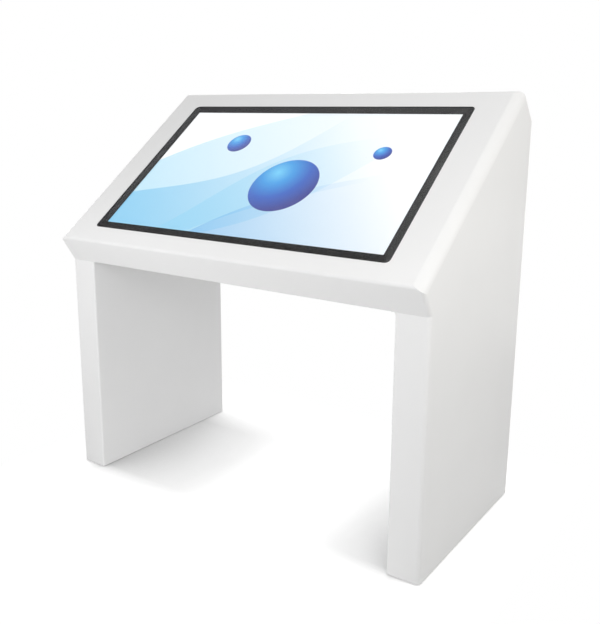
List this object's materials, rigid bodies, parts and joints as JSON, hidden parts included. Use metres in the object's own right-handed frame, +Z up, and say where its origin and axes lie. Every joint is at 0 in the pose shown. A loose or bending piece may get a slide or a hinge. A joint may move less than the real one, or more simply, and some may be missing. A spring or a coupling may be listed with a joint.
{
  "type": "touchscreen kiosk",
  "caption": "Free-standing console kiosk in white sheet steel: a sloping top with a large flush touch display, on slab legs with open knee space and a lockable rear service door.",
  "frame": {"origin": "on the floor, under the middle of the body's width and depth", "axes": "+Z up, -Y towards the person at the screen, +X to that person's right"},
  "size_m": [1.215, 0.6455, 1.1814],
  "materials": {
    "white_paint": "powder-coated, fine satin",
    "zinc": "zinc-plated",
    "steel_bright": "polished",
    "glass": "clear, polished",
    "black_print": "printed, gloss under glass",
    "picture": "lit display",
    "black_rubber": "matt",
    "black_plastic": "moulded",
    "dark_metal": "black paint",
    "red_plastic": "moulded",
    "alu": "brushed",
    "cable": "matt sheath",
    "brass": "plated"
  },
  "bodies": {
    "body": {"side_panel_left": "white_paint", "side_panel_right": "white_paint", "fascia": "white_paint", "belly_panel": "white_paint", "leg_liner_left": "white_paint", "leg_liner_right": "white_paint", "rear_panel": "white_paint", "leg_cover_left": "white_paint", "leg_cover_right": "white_paint", "leg_cover_screws": "zinc", "base_plate_left": "zinc", "base_plate_right": "zinc", "door_gasket": "black_rubber", "hinge_frame_leaves": "zinc", "hinge_pins": "steel_bright", "touch_glass": "glass", "glass_border": "black_print", "glass_tape": "black_rubber", "glass_carrier": "dark_metal", "display_panel": "picture", "display_chassis": "alu", "display_strap_left": "zinc", "display_strap_right": "zinc", "display_screws": "zinc", "touch_controller": "black_plastic", "computer": "alu", "computer_tray": "zinc", "power_supply": "alu", "fan_frame_left": "black_plastic", "fan_frame_right": "black_plastic", "fan_screws": "zinc", "speaker_left": "dark_metal", "speaker_right": "dark_metal", "speaker_cone_left": "black_plastic", "speaker_cone_right": "black_plastic", "inlet_housing": "black_plastic", "inlet_pins": "brass", "mains_lead": "cable", "display_lead": "cable", "touch_lead": "cable", "speaker_leads": "cable", "fan_leads": "cable", "lead_clips": "black_plastic"},
    "door": {"service_door": "white_paint", "hinge_door_leaves": "zinc", "lock_housing": "steel_bright", "lock_nut": "zinc"},
    "lock": {"lock_plug": "steel_bright", "lock_cam": "zinc"},
    "rocker": {"inlet_rocker": "red_plastic"},
    "computer_button": {"computer_button": "steel_bright"},
    "fan_left": {"fan_rotor_left": "black_plastic"},
    "fan_right": {"fan_rotor_right": "black_plastic"},
    "foot_front_left": {"foot_front_left": "black_plastic"},
    "foot_front_right": {"foot_front_right": "black_plastic"},
    "foot_rear_left": {"foot_rear_left": "black_plastic"},
    "foot_rear_right": {"foot_rear_right": "black_plastic"}
  },
  "joints": [
    {"name": "door_hinge", "type": "hinge", "parent": "body", "child": "door", "pos_m": [-0.37825, 0.32025, 0.88], "axis": [0, 0, 1], "range_deg": [0, 115]},
    {"name": "lock_turn", "type": "hinge", "parent": "door", "child": "lock", "pos_m": [0.35, 0.31575, 0.88], "axis": [0, 1, 0], "range_deg": [0, 90]},
    {"name": "inlet_switch", "type": "hinge", "parent": "body", "child": "rocker", "pos_m": [0.47, 0.31275, 0.751], "axis": [-1, 0, 0], "range_deg": [0, 16]},
    {"name": "computer_push", "type": "slide", "parent": "body", "child": "computer_button", "axis": [0, -1, 0], "range_m": [0, 0.002], "stiffness_N_per_m": 400},
    {"name": "fan_left_spin", "type": "hinge", "parent": "body", "child": "fan_left", "pos_m": [-0.478, 0.30375, 0.88], "axis": [0, 1, 0], "continuous": true},
    {"name": "fan_right_spin", "type": "hinge", "parent": "body", "child": "fan_right", "pos_m": [0.478, 0.30375, 0.88], "axis": [0, 1, 0], "continuous": true},
    {"name": "foot_front_left_level", "type": "slide", "parent": "body", "child": "foot_front_left", "axis": [0, 0, 1], "range_m": [-0.012, 0.002]},
    {"name": "foot_rear_left_level", "type": "slide", "parent": "body", "child": "foot_rear_left", "axis": [0, 0, 1], "range_m": [-0.012, 0.002]},
    {"name": "foot_front_right_level", "type": "slide", "parent": "body", "child": "foot_front_right", "axis": [0, 0, 1], "range_m": [-0.012, 0.002]},
    {"name": "foot_rear_right_level", "type": "slide", "parent": "body", "child": "foot_rear_right", "axis": [0, 0, 1], "range_m": [-0.012, 0.002]}
  ]
}
